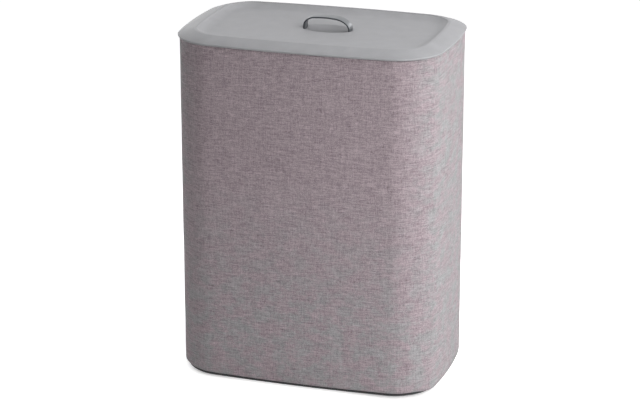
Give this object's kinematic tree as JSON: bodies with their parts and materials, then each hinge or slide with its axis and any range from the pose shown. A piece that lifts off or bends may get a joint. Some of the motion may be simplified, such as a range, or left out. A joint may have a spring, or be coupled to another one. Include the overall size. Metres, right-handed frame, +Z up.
{
  "type": "laundry hamper with two bins",
  "caption": "Tall rounded fabric-covered laundry hamper with side-by-side lift-out bins on rigid frames, under a recessed lift-off lid with a steel strap handle over a finger dish.",
  "frame": {"origin": "on the floor under the middle of the hamper", "axes": "+X to the right seen from the front, +Y from front to rear, +Z up"},
  "size_m": [0.474, 0.3096, 0.626],
  "materials": {
    "melange_fabric": "linen-look melange weave in mauve and grey, padded and tight",
    "lid_plastic": "fine matte moulded plastic, light grey",
    "rim_plastic": "matte moulded plastic, light grey",
    "shell_plastic": "matte moulded plastic, mid grey",
    "dark_plastic": "matte moulded plastic, dark grey",
    "handle_steel": "satin stainless steel",
    "screw_steel": "zinc-plated steel",
    "rivet_steel": "satin steel",
    "rubber_feet": "matte black rubber",
    "webbing": "woven polyester webbing, dark grey",
    "frame_plastic": "matte moulded plastic, mid grey",
    "bag_light": "coated woven polyester, light grey",
    "bag_dark": "coated woven polyester, dark grey",
    "board": "stiff board in a dark covering"
  },
  "bodies": {
    "hamper": {"outer_shell": "shell_plastic", "fabric_cover": "melange_fabric", "base_plinth": "dark_plastic", "rim_ring": "rim_plastic", "centre_bar": "rim_plastic", "bar_screw_front": "screw_steel", "bar_screw_rear": "screw_steel", "foot_front_left": "rubber_feet", "foot_front_right": "rubber_feet", "foot_rear_left": "rubber_feet", "foot_rear_right": "rubber_feet", "foot_screw_front_left": "screw_steel", "foot_screw_front_right": "screw_steel", "foot_screw_rear_left": "screw_steel", "foot_screw_rear_right": "screw_steel"},
    "bin_b": {"bin_b_frame": "frame_plastic", "bin_b_bag_bottom": "bag_dark", "bin_b_bag_front": "bag_dark", "bin_b_bag_rear": "bag_dark", "bin_b_bag_inner": "bag_dark", "bin_b_bag_outer": "bag_dark", "bin_b_bag_corner_front_inner": "bag_dark", "bin_b_bag_corner_front_outer": "bag_dark", "bin_b_bag_corner_rear_inner": "bag_dark", "bin_b_bag_corner_rear_outer": "bag_dark", "bin_b_base_board": "board", "bin_b_strap_front": "webbing", "bin_b_strap_rear": "webbing", "bin_b_rivet_front_left": "rivet_steel", "bin_b_rivet_front_right": "rivet_steel", "bin_b_rivet_rear_left": "rivet_steel", "bin_b_rivet_rear_right": "rivet_steel"},
    "bin_a": {"bin_a_frame": "frame_plastic", "bin_a_bag_bottom": "bag_light", "bin_a_bag_front": "bag_light", "bin_a_bag_rear": "bag_light", "bin_a_bag_inner": "bag_light", "bin_a_bag_outer": "bag_light", "bin_a_bag_corner_front_inner": "bag_light", "bin_a_bag_corner_front_outer": "bag_light", "bin_a_bag_corner_rear_inner": "bag_light", "bin_a_bag_corner_rear_outer": "bag_light", "bin_a_base_board": "board", "bin_a_strap_front": "webbing", "bin_a_strap_rear": "webbing", "bin_a_rivet_front_left": "rivet_steel", "bin_a_rivet_front_right": "rivet_steel", "bin_a_rivet_rear_left": "rivet_steel", "bin_a_rivet_rear_right": "rivet_steel"},
    "lid": {"lid_shell": "lid_plastic", "lid_handle": "handle_steel", "handle_screw_left": "screw_steel", "handle_screw_right": "screw_steel"}
  },
  "joints": [
    {"name": "bin_b_lift", "type": "slide", "parent": "hamper", "child": "bin_b", "axis": [0, 0, 1], "range_m": [0, 0.6]},
    {"name": "bin_a_lift", "type": "slide", "parent": "bin_b", "child": "bin_a", "axis": [0, 0, 1], "range_m": [0, 0.6]},
    {"name": "lid_lift", "type": "slide", "parent": "bin_a", "child": "lid", "axis": [0, 0, 1], "range_m": [0, 0.2]}
  ]
}
